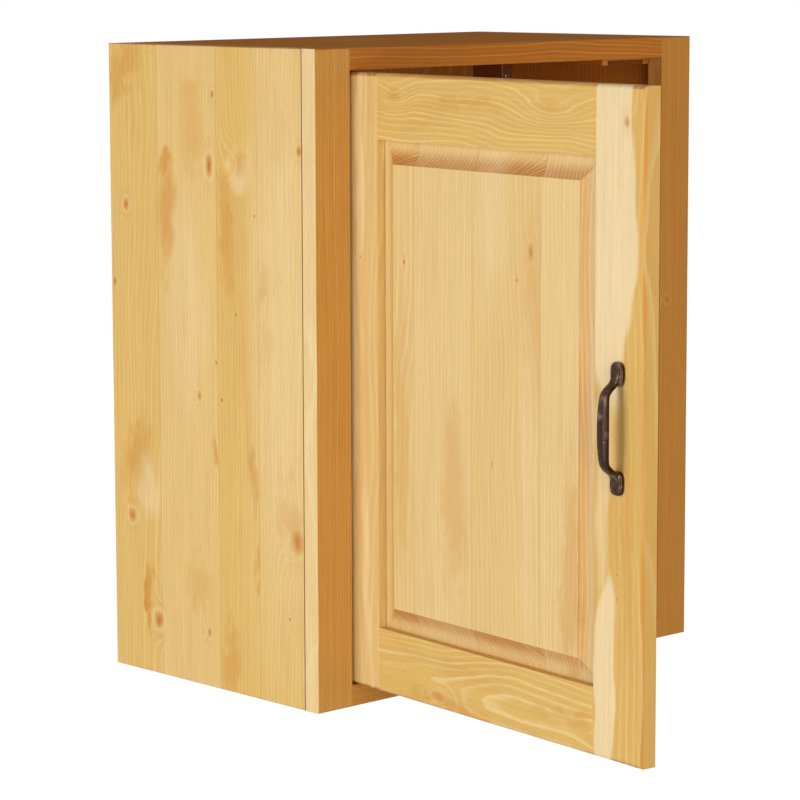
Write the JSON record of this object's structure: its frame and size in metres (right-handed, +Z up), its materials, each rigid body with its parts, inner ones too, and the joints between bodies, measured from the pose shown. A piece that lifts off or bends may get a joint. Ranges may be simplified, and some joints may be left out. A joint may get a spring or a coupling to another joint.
{
  "type": "wall cabinet",
  "caption": "Straight-sided wooden kitchen wall cabinet with a face frame, one left-hung inset raised-panel door standing open, a bow handle, shelves and hooks for a wall rail.",
  "frame": {"origin": "on the wall plane, midway between the two hanger hooks, level with their bearing edges", "axes": "+X to the right seen from the room, +Y towards the wall, +Z up"},
  "size_m": [0.6164, 0.8168, 0.72],
  "materials": {
    "spruce": "honey-coloured wax on solid spruce, satin",
    "back_board": "honey-coloured wax on thin board, satin",
    "beech": "bare beech dowel",
    "antique_bronze": "antique bronze on die-cast metal, semi-gloss",
    "bright_steel": "bright nickel or zinc plating",
    "brown_plastic": "dark brown moulded plastic",
    "felt": "brown felt"
  },
  "bodies": {
    "cabinet": {"back_panel": "back_board", "bottom_board": "spruce", "carcass_dowels": "beech", "door_stop_block": "spruce", "door_stop_pad": "felt", "door_stop_screws": "bright_steel", "frame_bottom_rail": "spruce", "frame_dowels": "beech", "frame_left_stile": "spruce", "frame_right_stile": "spruce", "frame_top_rail": "spruce", "hanger_adjusting_screws": "bright_steel", "hanger_fixing_screws": "bright_steel", "hinge_arm_screws": "bright_steel", "hinge_block_screws": "bright_steel", "hinge_plate_screws": "bright_steel", "left_hanger_hook": "bright_steel", "left_hanger_housing": "brown_plastic", "left_side_panel": "spruce", "lower_hinge_arm": "bright_steel", "lower_hinge_block": "spruce", "lower_hinge_plate": "bright_steel", "lower_shelf": "spruce", "right_hanger_hook": "bright_steel", "right_hanger_housing": "brown_plastic", "right_side_panel": "spruce", "shelf_pins": "bright_steel", "top_board": "spruce", "upper_hinge_arm": "bright_steel", "upper_hinge_block": "spruce", "upper_hinge_plate": "bright_steel", "upper_shelf": "spruce"},
    "door": {"door_hinge_stile": "spruce", "door_handle_stile": "spruce", "door_top_rail": "spruce", "door_bottom_rail": "spruce", "door_panel": "spruce", "handle": "antique_bronze", "handle_screws": "antique_bronze", "upper_hinge_cup": "bright_steel", "lower_hinge_cup": "bright_steel", "upper_hinge_pin": "bright_steel", "lower_hinge_pin": "bright_steel", "hinge_cup_screws": "bright_steel"}
  },
  "joints": [
    {"name": "door_hinge", "type": "hinge", "parent": "cabinet", "child": "door", "pos_m": [-0.2341, -0.33815, 0], "axis": [0, 0, -1], "range_deg": [-96, 9]}
  ]
}
